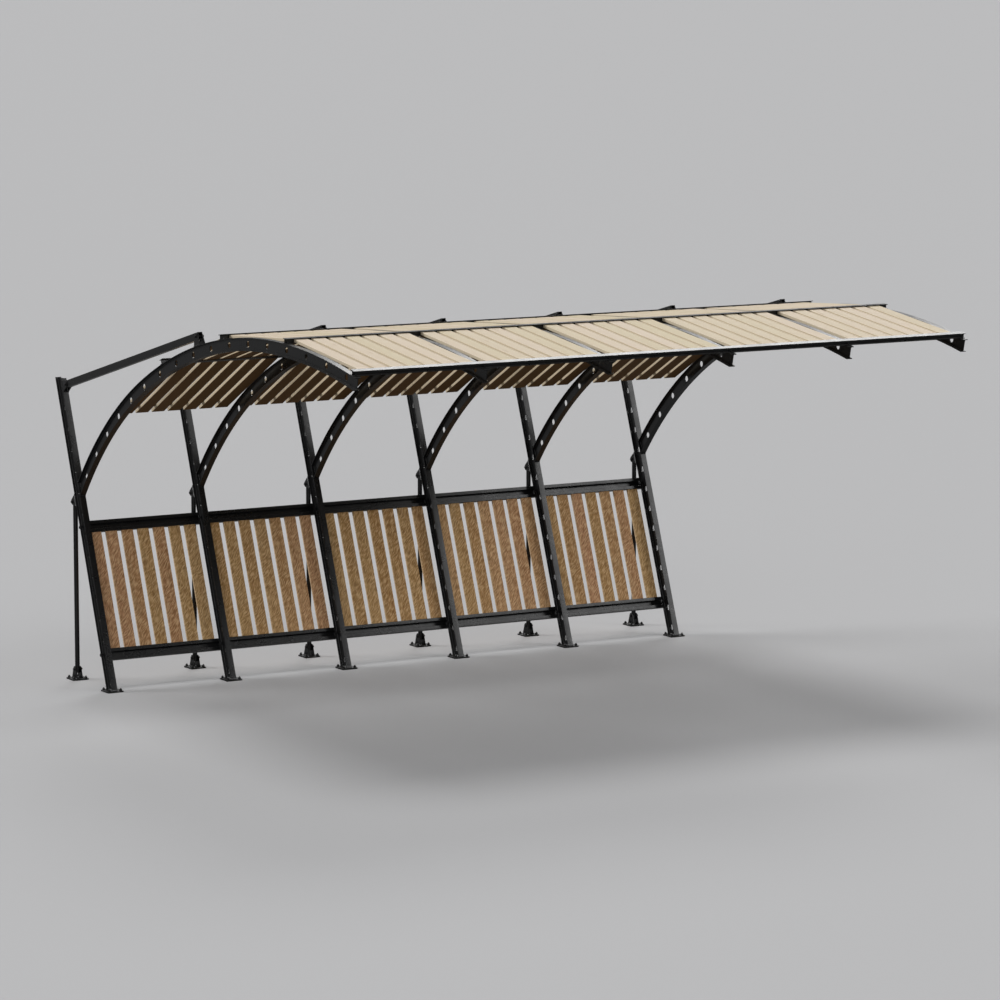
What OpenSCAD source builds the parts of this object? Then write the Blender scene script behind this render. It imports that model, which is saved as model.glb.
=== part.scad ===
// Slatted cantilever pergola: six leaning posts, each with a curved perforated rib,
// a tie bar and a prop, joined by purlins, rails and timber boards.
// X runs along the row, Y runs to the rear and Z is up. The origin is on the ground,
// at the middle of the first post's base plate.

/* [Row] */
// Distance between neighbouring frames, centre to centre
bay = 1000; // [800:10:1300]
// How far the purlins run past the outer frames
purlin_overrun = 22; // [0:1:60]

/* [Steel section] */
// Depth of the I-section of posts and ribs
sec_d = 94; // [78:1:114]
// Width of the I-section of posts and ribs
sec_w = 48; // [40:1:58]
// Flange thickness of posts and ribs
tf = 6; // [5:0.5:8]
// Web thickness of posts and ribs
tw = 6; // [5:0.5:8]

/* [Posts] */
// Height of the level top of the posts
post_top = 2296; // [1910:1:2800]
// Lean of the posts to the rear, in degrees from upright
lean = 20.4; // [17:0.1:24.5]
// Diameter of the holes in the post web
post_hole_d = 42; // [35:1:51]
// Pitch of the post's holes along the post
post_hole_pitch = 165; // [137:1:200]
// First hole of the post, measured along the post from the ground
post_hole_first = 72; // [60:1:90]
// Least distance from the last hole of a post to its top
post_hole_end = 150; // [120:1:180]

/* [Ribs] */
// Distance of the rib's outer edge below the post top, where they meet, along the post
spring_drop = 831.6; // [700:0.1:1000]
// Slope of the outer edge of the rib where it meets the post, in degrees
spring_a = 50.3; // [46:0.1:56]
// Slope of the rib where the steep arc and the roof arc meet, in degrees
knee_a = 26.56; // [22:0.1:31.9]
// Length of the rib in front of the middle of the first purlin
front_end = 52; // [44:1:62]
// Outer radius of the steep arc next to the post
r_low = 3393; // [2830:1:4080]
// Outer radius of the arc behind the crown
r_rear = 4701; // [3920:1:5640]
// Outer radius of the arc in front of the crown
r_front = 5550; // [4900:1:6660]
// Diameter of the holes in the rib web
rib_hole_d = 45; // [37:1:54]
// First hole of the rib, along the outer edge from the crown
rib_hole_first = -1100; // [-1120:1:-1000]
// Pitch of the holes on the roof arcs
rib_hole_pitch = 296; // [246:1:356]
// Pitch of the holes on the steep arc
low_hole_pitch = 262; // [218:1:315]
// Least distance from the last hole of a rib to the post
rib_hole_end = 100; // [80:1:130]

/* [Purlins] */
// First purlin, along the outer edge of the rib from the crown
purlin_first = -1206; // [-1230:1:-1150]
// Pitch of the purlins along the outer edge of the rib
purlin_pitch = 990; // [820:1:1050]
// Flange width of the purlins
purlin_w = 48; // [40:1:58]
// Flange thickness of the purlins
purlin_tf = 4; // [3:0.5:6]
// Web thickness of the purlins
purlin_tw = 5; // [4:0.5:6]

/* [Boards] */
// Boards in each bay
board_count = 7; // [5:1:9]
// Gap between neighbouring boards
board_gap = 29.5; // [24:0.5:36]
// Distance from the middle of a frame to the first board
board_edge = 51; // [42:1:62]
// Thickness of the roof boards
roof_t = 22; // [18:1:27]
// Thickness of the back boards
back_t = 16; // [13:1:19]
// Gap between neighbouring back boards
back_gap = 37.5; // [31:0.5:45]
// Setting of the back boards ahead of the middle of the rails
back_shift = 7; // [0:0.5:7]
// Overhang of the rear boards behind the last purlin, along the rib
tail_len = 990; // [825:1:1050]
// Height of the middle of the rear boards above the rib at their lower end
tail_lift = 20.5; // [17:0.5:25]
// Width of the flat bar that joins the lower ends of the rear boards
batten_w = 40; // [33:1:48]
// Thickness of that flat bar
batten_t = 5; // [4:0.5:6]
// Distance from the lower ends of the rear boards to that flat bar
batten_inset = 60; // [50:1:72]

/* [Rails] */
// Middle of the lower rail, measured along the post
lower_rail_s = 293; // [244:1:352]
// Middle of the upper rail, measured along the post
upper_rail_s = 1287; // [1072:1:1340]
// Height of the rails
rail_h = 90; // [75:1:108]
// Depth of the rails, which lie against the backs of the posts
rail_d = 40; // [34:1:48]
// Wall of the rails
rail_t = 4; // [3:0.5:6]
// Height of the slot in the front of the rails
rail_slot = 38; // [32:1:46]

/* [Lugs and pins] */
// Thickness of the lug plates
lug_t = 6; // [5:0.5:8]
// Width of the lugs at their foot
lug_w = 96; // [80:1:114]
// Radius of the round end of the lugs
lug_r = 24; // [20:1:28]
// Height of the pin above the foot of the tie lugs and floor lugs
lug_pin_h = 68; // [57:1:81]
// Height of the pin above the foot of the prop lugs on the posts
prop_lug_pin_h = 55; // [48:1:66]
// Diameter of the pins
pin_d = 12; // [10:1:14]
// How far a pin stands out of its lugs at each end
pin_out = 3; // [2:0.5:6]

/* [Tie bars and props] */
// Distance of the tie lug below the post top, along the post
tie_drop = 81; // [75:1:97]
// Place of the tie lug on the rib, along the outer edge from the crown
tie_s = 1151; // [960:1:1380]
// Depth of the tie bars
tie_d = 54; // [45:1:64]
// Width of the tie bars and diameter of the props
bar_w = 36; // [30:1:43]
// Wall of the tie bars and props
bar_t = 3; // [2.5:0.5:4]
// How far tie bars and props run past their pins
bar_end = 28; // [22:1:33]
// Distance of the prop lug below the post top, along the post
prop_drop = 949.6; // [800:0.1:1130]

/* [Base plates] */
// Side of the square base plates
plate_w = 133; // [125:1:160]
// Thickness of the base plates
plate_t = 10; // [8:1:12]
// Spacing of the anchor holes, both ways
anchor_pitch = 96; // [90:1:106]
// Diameter of the anchor holes
anchor_d = 14; // [12:1:17]

/* [Fits] */
// Gap between pieces that seat on each other
seat = 0.2; // [0.1:0.05:0.5]
// Gap on each side of a bar between its lugs
lug_gap = 0.3; // [0.2:0.05:0.6]
// Extra bore diameter over a pin
pin_gap = 0.4; // [0.2:0.1:0.8]
// Free height above and below a tilted board between the purlin flanges
housing_gap = 0.3; // [0.2:0.1:1]

/* [Hidden] */
frames = 6;
bays = frames - 1;
row_l = bays * bay;
$fn = 48;
// Sides of the great circles of the rib
arc_fn = 720;
// How deep welded lugs run into the plate they stand on
weld_root = 2;
steel = "#26282b";
bright_steel = "#8f9296";
roof_wood = "#d8c4a0";
back_wood = "#9a7448";
pin_r = pin_d / 2;
bore_r = pin_r + pin_gap / 2;
lug_x = bar_w / 2 + lug_gap + lug_t / 2;
pin_l = 2 * lug_x + lug_t + 2 * pin_out;
post_l = post_top / cos(lean);
spring_s = post_l - spring_drop;
prop_s = post_l - prop_drop;
post_hole_n = floor((post_l - post_hole_first - post_hole_end) / post_hole_pitch) + 1;
board_w = (bay - 2 * board_edge - (board_count - 1) * board_gap) / board_count;
back_w = board_w + board_gap - back_gap;

// Point in the plane of a frame, u behind the post's axis and s up along it
function lean_pt(u, s) = [s * sin(lean) + u * cos(lean), s * cos(lean) - u * sin(lean)];
// Turning angle of a length of arc
function arc_a(s, r) = s / r * 180 / PI;

// Arc centres of the rib, set out from the point where it meets the post
spring_pt = lean_pt(-sec_d / 2, spring_s);
c_low = spring_pt - r_low * [sin(spring_a), cos(spring_a)];
c_rear = c_low - (r_rear - r_low) * [sin(knee_a), cos(knee_a)];
c_front = c_rear + [0, r_rear - r_front];
knee_s = r_rear * knee_a * PI / 180;
// Slope of the rib at its front end
front_a = arc_a(front_end - purlin_first, r_front);
rib_end_s = knee_s + r_low * (spring_a - knee_a) * PI / 180;

// Slope, radius and centre of the rib at the length s from the crown
function rib_a(s) = s < 0 ? arc_a(s, r_front)
    : s < knee_s ? arc_a(s, r_rear) : knee_a + arc_a(s - knee_s, r_low);
function rib_r(s) = s < 0 ? r_front : s < knee_s ? r_rear : r_low;
function rib_c(s) = s < 0 ? c_front : s < knee_s ? c_rear : c_low;
// Point of the rib at the length s from the crown, h outside its outer edge
function rib_pt(s, h) = rib_c(s) + (rib_r(s) + h) * [sin(rib_a(s)), cos(rib_a(s))];
// Fall of the straight line from a to b, in degrees
function fall(a, b) = atan2(a[1] - b[1], b[0] - a[0]);

function purlin_s(k) = purlin_first + k * purlin_pitch;
tail_s = purlin_s(3) + tail_len;
// Greatest tilt of a board in the purlins, which sets the height between their flanges
span_tilts = [for (k = [0:2], e = [0, 1])
    abs(fall(rib_pt(purlin_s(k), 0), rib_pt(purlin_s(k + 1), 0)) - rib_a(purlin_s(k + e)))];
tail_tilt = abs(fall(rib_pt(purlin_s(3), roof_t), rib_pt(tail_s, tail_lift)) - rib_a(purlin_s(3)));
tilt = max(concat(span_tilts, [tail_tilt]));
purlin_h = roof_t / cos(tilt) + purlin_w * sin(tilt) + 2 * (housing_gap + purlin_tf);
purlin_mid = seat + purlin_h / 2;

// Pins of the tie bars and props, as [y, z]
tie_rear = lean_pt(-sec_d / 2 - lug_pin_h, post_l - tie_drop);
tie_front = rib_pt(tie_s, lug_pin_h);
prop_head = lean_pt(sec_d / 2 + prop_lug_pin_h, prop_s);
prop_foot = [prop_head[0], plate_t + lug_pin_h];

rib_holes = [for (s = [rib_hole_first : rib_hole_pitch : knee_s]) s];
low_start = rib_holes[len(rib_holes) - 1] + low_hole_pitch;
low_holes = [for (s = [low_start : low_hole_pitch : rib_end_s - rib_hole_end]) s];

// Extrudes a [y, z] outline to the width w, centred on a frame
module yz(w) rotate([90, 0, 90]) linear_extrude(height = w, center = true) children();

module at_frame(i) translate([(i - 1) * bay, 0, 0]) children();

// Turns a [u, s] outline into the plane of the posts
module leaning() rotate(-lean) children();

// ---- Lugs ----

// Side view of a lug plate: it stands on y = 0 and tapers to a round end
module lug_outline(pin_h) {
    t = acos(lug_r / norm([lug_w / 2, pin_h])) - atan2(pin_h, lug_w / 2);
    shoulder = lug_r * [cos(t), sin(t)];
    difference() {
        union() {
            polygon([[-lug_w / 2, 0], [lug_w / 2, 0],
                [shoulder[0], pin_h + shoulder[1]], [-shoulder[0], pin_h + shoulder[1]]]);
            translate([-lug_w / 2, -weld_root]) square([lug_w, weld_root]);
            translate([0, pin_h]) circle(r = lug_r);
        }
        translate([0, pin_h]) circle(r = bore_r);
    }
}

// Pair of lug plates; the children place the side view
module lug_pair() for (x = [-lug_x, lug_x]) translate([x, 0, 0]) yz(lug_t) children();

// ---- Posts ----

// Strip of the post between two depths, cut level at the ground plate and the top
module post_strip(u0, u1) intersection() {
    leaning() translate([u0, -sec_d]) square([u1 - u0, 2 * post_top]);
    translate([-post_top, plate_t / 2]) square([3 * post_top, post_top - plate_t / 2]);
}

module base_plate() difference() {
    translate([-plate_w / 2, -plate_w / 2, 0]) cube([plate_w, plate_w, plate_t]);
    for (x = [-1, 1], y = [-1, 1])
        translate([x * anchor_pitch / 2, y * anchor_pitch / 2, -plate_t])
            cylinder(d = anchor_d, h = 3 * plate_t);
}

module post(i) color(steel) at_frame(i) union() {
    base_plate();
    yz(tw) difference() {
        post_strip(-sec_d / 2, sec_d / 2);
        for (k = [0 : post_hole_n - 1])
            translate(lean_pt(0, post_hole_first + k * post_hole_pitch)) circle(d = post_hole_d);
    }
    yz(sec_w) post_strip(-sec_d / 2, tf - sec_d / 2);
    yz(sec_w) post_strip(sec_d / 2 - tf, sec_d / 2);
    lug_pair() leaning() translate([-sec_d / 2, post_l - tie_drop]) rotate(90)
        lug_outline(lug_pin_h);
    lug_pair() leaning() translate([sec_d / 2, prop_s]) rotate(-90)
        lug_outline(prop_lug_pin_h);
}

// ---- Ribs ----

// Part of a ring between the radii r0 and r1 and the slopes a0 and a1
module arc_band(c, r0, r1, a0, a1) translate(c) intersection() {
    difference() {
        circle(r = r1, $fn = arc_fn);
        circle(r = r0, $fn = arc_fn);
    }
    polygon([[0, 0], 2 * r1 * [sin(a0), cos(a0)], 2 * r1 * [sin(a1), cos(a1)]]);
}

// Band of the rib between the depths h0 and h1 under its outer edge, cut at the post's face
module rib_band(h0, h1) difference() {
    union() {
        arc_band(c_front, r_front - h1, r_front - h0, -front_a, 0);
        arc_band(c_rear, r_rear - h1, r_rear - h0, 0, knee_a);
        arc_band(c_low, r_low - h1, r_low - h0, knee_a, spring_a + front_a);
    }
    leaning() translate([-sec_d / 2 - seat, 0]) square(2 * post_top);
}

module rib(i) color(steel) at_frame(i) union() {
    yz(tw) difference() {
        rib_band(0, sec_d);
        for (s = concat(rib_holes, low_holes))
            translate(rib_pt(s, -sec_d / 2)) circle(d = rib_hole_d);
    }
    yz(sec_w) rib_band(0, tf);
    yz(sec_w) rib_band(sec_d - tf, sec_d);
    lug_pair() translate(rib_pt(tie_s, 0)) rotate(-rib_a(tie_s)) lug_outline(lug_pin_h);
}

// ---- Tie bars, props and pins ----

module cross_bore(p) translate([0, p[0], p[1]]) rotate([0, 90, 0])
    cylinder(r = bore_r, h = 2 * bar_w, center = true);

// Box bar between its two pins, past which it runs by bar_end
module tie_bar(i) color(steel) at_frame(i) difference() {
    yz(bar_w) tie_outline(tie_d);
    yz(bar_w - 2 * bar_t) tie_outline(tie_d - 2 * bar_t);
    cross_bore(tie_front);
    cross_bore(tie_rear);
}

module tie_outline(d) {
    l = norm(tie_rear - tie_front) + 2 * bar_end;
    translate(tie_front) rotate(-fall(tie_front, tie_rear)) translate([-bar_end, -d / 2])
        square([l, d]);
}

// Upright tube between its two pins
module prop(i) color(steel) at_frame(i) difference() {
    prop_rod(bar_w, 0);
    prop_rod(bar_w - 2 * bar_t, 1);
    cross_bore(prop_head);
    cross_bore(prop_foot);
}

module prop_rod(d, over) translate([0, prop_foot[0], prop_foot[1] - bar_end - over])
    cylinder(d = d, h = prop_head[1] - prop_foot[1] + 2 * (bar_end + over));

module prop_feet() color(steel) for (i = [1 : frames]) at_frame(i) union() {
    translate([0, prop_foot[0], 0]) base_plate();
    lug_pair() translate([prop_foot[0], plate_t]) lug_outline(lug_pin_h);
}

module pins() color(bright_steel) for (i = [1 : frames], p = [tie_front, tie_rear, prop_head, prop_foot])
    at_frame(i) translate([0, p[0], p[1]]) rotate([0, 90, 0])
        cylinder(r = pin_r, h = pin_l, center = true);

// ---- Purlins and roof boards ----

// I-section across the ribs, whose flanges house the ends of the boards
module purlin(k) color(steel) translate([row_l / 2, 0, 0]) yz(row_l + 2 * purlin_overrun)
    translate(rib_pt(purlin_s(k), purlin_mid)) rotate(-rib_a(purlin_s(k))) union() {
        square([purlin_tw, purlin_h], center = true);
        for (y = [-1, 1])
            translate([0, y * (purlin_h - purlin_tf) / 2]) square([purlin_w, purlin_tf], center = true);
    }

// Places an outline at each board of a bay, extruded to the width w
module board_row(i, w) for (j = [0 : board_count - 1])
    translate([(i - 1) * bay + board_edge + j * (board_w + board_gap) + board_w / 2, 0, 0])
        yz(w) children();

// Length that a board tilted by d stands off the middle of a purlin
function standoff(d) = (purlin_tw / 2 + seat) / cos(d) + roof_t / 2 * tan(abs(d));

// Straight boards between two points, each end trimmed by its own length
module roof_boards(a, b, trim_a, trim_b) color(roof_wood) for (i = [1 : bays]) board_row(i, board_w)
    translate(a) rotate(-fall(a, b)) translate([trim_a, -roof_t / 2])
        square([norm(b - a) - trim_a - trim_b, roof_t]);

module roof_span(k) {
    a = rib_pt(purlin_s(k), purlin_mid);
    b = rib_pt(purlin_s(k + 1), purlin_mid);
    c = fall(a, b);
    roof_boards(a, b, standoff(c - rib_a(purlin_s(k))), standoff(rib_a(purlin_s(k + 1)) - c));
}

tail_a = rib_pt(purlin_s(3), purlin_mid);
tail_b = rib_pt(tail_s, tail_lift);

module roof_front() roof_span(0);
module roof_crown() roof_span(1);
module roof_back() roof_span(2);
module roof_tail() roof_boards(tail_a, tail_b,
    standoff(fall(tail_a, tail_b) - rib_a(purlin_s(3))), 0);

// Flat bars on the lower ends of the rear boards, one in each bay
module tail_battens() color(steel) for (i = [1 : bays]) translate([(i - 0.5) * bay, 0, 0])
    yz(bay - 2 * board_edge) translate(tail_b) rotate(-fall(tail_a, tail_b))
        translate([-batten_inset - batten_w, roof_t / 2 + seat]) square([batten_w, batten_t]);

// ---- Rails and back boards ----

// Channel with a slot in its front, which lies against the backs of the posts
rail_u = sec_d / 2 + seat + rail_d / 2;
module rail_outline() difference() {
    square([rail_d, rail_h], center = true);
    square([rail_d - 2 * rail_t, rail_h - 2 * rail_t], center = true);
    translate([-rail_d / 2, 0]) square([3 * rail_t, rail_slot], center = true);
}

module rails(s) color(steel) for (i = [1 : bays]) translate([(i - 0.5) * bay, 0, 0])
    yz(bay - 2 * seat) leaning() translate([rail_u, s]) rail_outline();

module lower_rails() rails(lower_rail_s);
module upper_rails() rails(upper_rail_s);

// Upright boards of one bay, standing between the two rails
module back_panel(i) color(back_wood) board_row(i, back_w)
    leaning() translate([rail_u - back_shift - back_t / 2, lower_rail_s + rail_h / 2 + seat])
        square([back_t, upper_rail_s - lower_rail_s - rail_h - 2 * seat]);

post(1);  // post_1
post(2);  // post_2
post(3);  // post_3
post(4);  // post_4
post(5);  // post_5
post(6);  // post_6
rib(1);  // rib_1
rib(2);  // rib_2
rib(3);  // rib_3
rib(4);  // rib_4
rib(5);  // rib_5
rib(6);  // rib_6
tie_bar(1);  // tie_bar_1
tie_bar(2);  // tie_bar_2
tie_bar(3);  // tie_bar_3
tie_bar(4);  // tie_bar_4
tie_bar(5);  // tie_bar_5
tie_bar(6);  // tie_bar_6
prop(1);  // prop_1
prop(2);  // prop_2
prop(3);  // prop_3
prop(4);  // prop_4
prop(5);  // prop_5
prop(6);  // prop_6
prop_feet();
pins();
purlin(0);  // purlin_1
purlin(1);  // purlin_2
purlin(2);  // purlin_3
purlin(3);  // purlin_4
lower_rails();
upper_rails();
back_panel(1);  // back_panel_1
back_panel(2);  // back_panel_2
back_panel(3);  // back_panel_3
back_panel(4);  // back_panel_4
back_panel(5);  // back_panel_5
roof_front();
roof_crown();
roof_back();
roof_tail();
tail_battens();
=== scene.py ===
# %% [markdown]
# # A slatted pergola on six leaning steel frames
#
# The real thing is a long open shelter. Six black steel posts lean to the rear, and each one
# carries a curved, perforated rib that reaches forwards. Purlins tie the ribs together and hold
# pine boards, and rougher brown boards close the back at sitting height. The construction and
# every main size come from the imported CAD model, which is loaded first and never moved. This
# notebook gives the steel its rolled sections, round holes, welds and bolts, and gives the
# timber its sawn edges and its grain.

# %% Load the frame
import math

import bpy
from mathutils import Matrix, Vector


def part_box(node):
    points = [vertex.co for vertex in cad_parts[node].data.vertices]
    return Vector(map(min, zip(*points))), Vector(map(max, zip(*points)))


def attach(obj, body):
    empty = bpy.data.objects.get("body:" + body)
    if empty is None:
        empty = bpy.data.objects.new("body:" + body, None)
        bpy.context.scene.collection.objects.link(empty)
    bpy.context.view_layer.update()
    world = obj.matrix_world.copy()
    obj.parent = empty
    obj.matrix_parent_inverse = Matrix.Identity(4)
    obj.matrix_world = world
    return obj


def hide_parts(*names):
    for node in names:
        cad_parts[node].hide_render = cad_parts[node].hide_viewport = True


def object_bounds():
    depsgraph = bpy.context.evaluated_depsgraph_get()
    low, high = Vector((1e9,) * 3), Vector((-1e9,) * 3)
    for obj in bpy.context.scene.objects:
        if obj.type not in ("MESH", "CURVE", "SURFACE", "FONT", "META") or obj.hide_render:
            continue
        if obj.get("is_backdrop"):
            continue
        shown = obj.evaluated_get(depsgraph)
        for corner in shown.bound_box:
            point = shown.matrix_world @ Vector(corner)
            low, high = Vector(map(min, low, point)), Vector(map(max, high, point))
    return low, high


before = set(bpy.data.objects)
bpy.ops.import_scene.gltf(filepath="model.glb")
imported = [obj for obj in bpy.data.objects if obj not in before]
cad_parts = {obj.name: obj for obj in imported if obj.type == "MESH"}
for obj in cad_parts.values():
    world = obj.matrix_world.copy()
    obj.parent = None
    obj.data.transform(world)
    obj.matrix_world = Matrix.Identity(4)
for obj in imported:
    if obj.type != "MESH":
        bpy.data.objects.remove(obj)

cad_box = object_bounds()


def short(numbers):
    """A point or a pair of corners, rounded to a millimetre for a printed line."""
    return [short(n) if hasattr(n, "__len__") else round(n, 3) for n in numbers]


print("CAD box:", short(cad_box))

# %% [markdown]
# ## Sizes to set out from
#
# A welder sets a frame out from a few lines: the leaning line of the post and the three arcs of
# the rib. The same lines are written here once, in metres, so that bolts, welds and holes land
# where the CAD has them. A point in the plane of a frame is found from how far it is along the
# post and how far behind its middle, or from how far it is along the rib and how far outside its
# upper edge. Lengths along the post start at the ground, and lengths along the rib at its crown.

# %% Sizes of the frames
BAY = 1.0  # from frame to frame
FRAMES = range(1, 7)
SECTION = dict(width=0.048, depth=0.094, flange=0.006, web=0.006)
HALF_WIDTH, HALF_DEPTH = SECTION["width"] / 2, SECTION["depth"] / 2
LEAN = math.radians(20.4)
POST_TOP = 2.296
POST_LENGTH = POST_TOP / math.cos(LEAN)
SPRING_S = POST_LENGTH - 0.8316  # where the rib's upper edge meets the post
R_LOW, R_REAR, R_FRONT = 3.393, 4.701, 5.550  # the arcs, from the post forwards
SPRING, KNEE = math.radians(50.3), math.radians(26.56)  # slopes at the ends of the low arc
FRONT_LENGTH = 1.258  # from the crown to the front end


# %% Points on the frames
def frame_x(i):
    """Where a frame stands along the row."""
    return (i - 1) * BAY


def on_post(u, s, x=0.0):
    """The point u behind the middle of a post and s up along it."""
    return Vector((x, s * math.sin(LEAN) + u * math.cos(LEAN),
                   s * math.cos(LEAN) - u * math.sin(LEAN)))


def outwards(angle):
    """The direction away from an arc's centre, at a slope of the rib."""
    return Vector((0, math.sin(angle), math.cos(angle)))


C_LOW = on_post(-HALF_DEPTH, SPRING_S) - R_LOW * outwards(SPRING)
C_REAR = C_LOW - (R_REAR - R_LOW) * outwards(KNEE)
C_FRONT = C_REAR + (R_REAR - R_FRONT) * outwards(0)
FRONT = FRONT_LENGTH / R_FRONT
KNEE_S = R_REAR * KNEE
RIB_END = KNEE_S + R_LOW * (SPRING - KNEE)


def rib_slope(s):
    """The slope of the rib at the length s behind its crown."""
    if s < 0:
        return s / R_FRONT
    return s / R_REAR if s < KNEE_S else KNEE + (s - KNEE_S) / R_LOW


def on_rib(s, h=0.0, x=0.0):
    """The point at the length s behind the rib's crown, and h outside its upper edge."""
    if s < 0:
        centre, radius = C_FRONT, R_FRONT
    elif s < KNEE_S:
        centre, radius = C_REAR, R_REAR
    else:
        centre, radius = C_LOW, R_LOW
    return centre + (radius + h) * outwards(rib_slope(s)) + Vector((x, 0, 0))


print("rib from", -FRONT_LENGTH, "to", round(RIB_END, 3), "m behind its crown")
print("front end of the rib at", short(on_rib(-FRONT_LENGTH)))

# %% [markdown]
# ## Small tools of the workshop
#
# Nearly every piece is made with the same few moves: deselect everything, add a primitive, pick
# its faces or points by where they are, and work on them. The helpers below do only that. `pick`
# stands for clicking in edit mode, `finish` for the last steps that every piece goes through: its
# shading is smoothed up to an angle and weighted by area, so that flat faces stay flat right up
# to their eased edges, it gets its material, it is hung on the CAD body, and the CAD nodes that it
# stands for are hidden. Points are moved rather than objects, so every object stays at the origin,
# where the CAD has its zero.

# %% Helpers for edit mode
def clear_hands():
    """Leaves edit mode and deselects every object."""
    if bpy.context.object and bpy.context.object.mode != "OBJECT":
        bpy.ops.object.mode_set(mode="OBJECT")
    bpy.ops.object.select_all(action="DESELECT")


def take(*pieces):
    """Selects these pieces and makes the first one active."""
    clear_hands()
    for piece in pieces:
        piece.select_set(True)
    bpy.context.view_layer.objects.active = pieces[0]


def edit(piece):
    """Opens a piece in edit mode with all of it selected."""
    take(piece)
    bpy.ops.object.mode_set(mode="EDIT")
    bpy.ops.mesh.select_all(action="SELECT")


def pick(kind, test):
    """Selects the points, edges or faces whose middle passes the test."""
    bpy.ops.mesh.select_mode(type=kind)
    bpy.ops.mesh.select_all(action="DESELECT")
    bpy.ops.object.mode_set(mode="OBJECT")
    mesh = bpy.context.object.data
    at = [v.co for v in mesh.vertices]
    if kind == "VERT":
        found = [v for v in mesh.vertices if test(v.co)]
    elif kind == "EDGE":
        found = [e for e in mesh.edges if test((at[e.vertices[0]] + at[e.vertices[1]]) / 2)]
    else:
        found = [f for f in mesh.polygons if test(f.center)]
    for part in found:
        part.select = True
    bpy.ops.object.mode_set(mode="EDIT")


# %% Helpers for whole pieces
def place(piece, matrix):
    """Moves the points of a piece, so that its object can stay at the origin."""
    clear_hands()
    piece.data.transform(matrix)
    return piece


def move(piece, x=0.0, y=0.0, z=0.0):
    """Moves the points of a piece along the axes."""
    return place(piece, Matrix.Translation((x, y, z)))


def settle(piece):
    """Writes an object's own place, turn and scale into its mesh."""
    take(piece)
    bpy.ops.object.transform_apply(location=True, rotation=True, scale=True)
    return piece


def twin(piece):
    """A copy of a piece with its own mesh."""
    take(piece)
    bpy.ops.object.duplicate(linked=False)
    return bpy.context.object


def join(name, pieces):
    """Joins loose pieces into one object of that name."""
    take(*pieces)
    if len(pieces) > 1:
        bpy.ops.object.join()
    bpy.context.object.name = name
    return bpy.context.object


def use(piece, kind, **settings):
    """Adds a modifier, sets it and applies it."""
    take(piece)
    modifier = piece.modifiers.new(kind.lower(), kind)
    for key, value in settings.items():
        setattr(modifier, key, value)
    bpy.ops.object.modifier_apply(modifier=modifier.name)
    return piece


def face_out(piece):
    """Merges doubled points and turns every face outwards."""
    edit(piece)
    bpy.ops.mesh.remove_doubles(threshold=0.00001)
    bpy.ops.mesh.normals_make_consistent(inside=False)
    clear_hands()
    return piece


def frame_of(x_axis, y_axis, at):
    """The matrix that lays a piece's X and Y along two directions at a point."""
    x_axis, y_axis = x_axis.normalized(), y_axis.normalized()
    matrix = Matrix((x_axis, y_axis, x_axis.cross(y_axis))).transposed().to_4x4()
    return Matrix.Translation(at) @ matrix


ALONG_X = Vector((1, 0, 0))
made = []


def finish(piece, name, material, slot, *nodes):
    """The last steps of every piece."""
    take(piece)
    piece.name = piece.data.name = name
    piece.data.materials.clear()
    piece.data.materials.append(material)
    bpy.ops.object.shade_smooth_by_angle(angle=math.radians(32), keep_sharp_edges=False)
    use(piece, "WEIGHTED_NORMAL", keep_sharp=True)
    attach(piece, "root")
    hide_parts(*nodes)
    made.append(piece)
    return piece


print("CAD nodes to dress:", len(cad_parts))

# %% [markdown]
# ## Materials: satin black steel
#
# The frames are painted or powder-coated steel, nearly black, with a satin gloss. A flat black
# would look like plastic, so the finish has three layers of detail. A fine orange-peel bump
# breaks up the reflections, a slow noise changes the roughness as handling and rain do, and a
# thin film of dust lies on all that faces up. Everything reads Object coordinates, which are
# metres here, so that the grain of the paint is the same size on a small lug and on a long rib.

# %% Helpers for material nodes
def new_material(name):
    """A material with a Principled shader, and a function that adds and links nodes to it."""
    material = bpy.data.materials.new(name)
    material.use_nodes = True
    nodes, links = material.node_tree.nodes, material.node_tree.links
    shader = nodes["Principled BSDF"]

    def add(kind, inputs=None, **settings):
        node = nodes.new(kind)
        for key, value in settings.items():
            setattr(node, key, value)
        for key, value in (inputs or {}).items():
            socket = node.inputs[key]
            if isinstance(value, bpy.types.NodeSocket):
                links.new(value, socket)
            else:
                socket.default_value = value
        return node

    return material, shader, add, links


def maths(add, operation, a, b=0.0, clamp=False):
    """One sum of two numbers or sockets."""
    return add("ShaderNodeMath", {0: a, 1: b}, operation=operation, use_clamp=clamp).outputs[0]


def blend_colour(add, share, first, second):
    """Lays the second colour over the first by a share."""
    node = add("ShaderNodeMix", data_type="RGBA", blend_type="MIX")
    for index, value in ((0, share), (6, first), (7, second)):
        if isinstance(value, bpy.types.NodeSocket):
            node.id_data.links.new(value, node.inputs[index])
        else:
            node.inputs[index].default_value = value if index == 0 else (*value, 1)
    return node.outputs[2]


def tint(add, colour, mask, share, over):
    """Lays a colour over another where a mask is on, and never by more than the share."""
    return blend_colour(add, maths(add, "MULTIPLY", mask, share), colour, over)


def spread(add, value, low, high, to_low=0.0, to_high=1.0):
    """Stretches a part of a pattern's range over a new range."""
    return add("ShaderNodeMapRange", {0: value, 1: low, 2: high, 3: to_low, 4: to_high}).outputs[0]


# %% Helpers for patterns
def noise(add, where, scale, detail, roughness, distortion=0.0):
    """A noise pattern, from 0 to 1."""
    return add("ShaderNodeTexNoise", {"Vector": where, "Scale": scale, "Detail": detail,
                                      "Roughness": roughness, "Distortion": distortion}).outputs[0]


def object_point(add):
    """The point that is being painted, in metres."""
    return add("ShaderNodeTexCoord").outputs["Object"]


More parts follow.
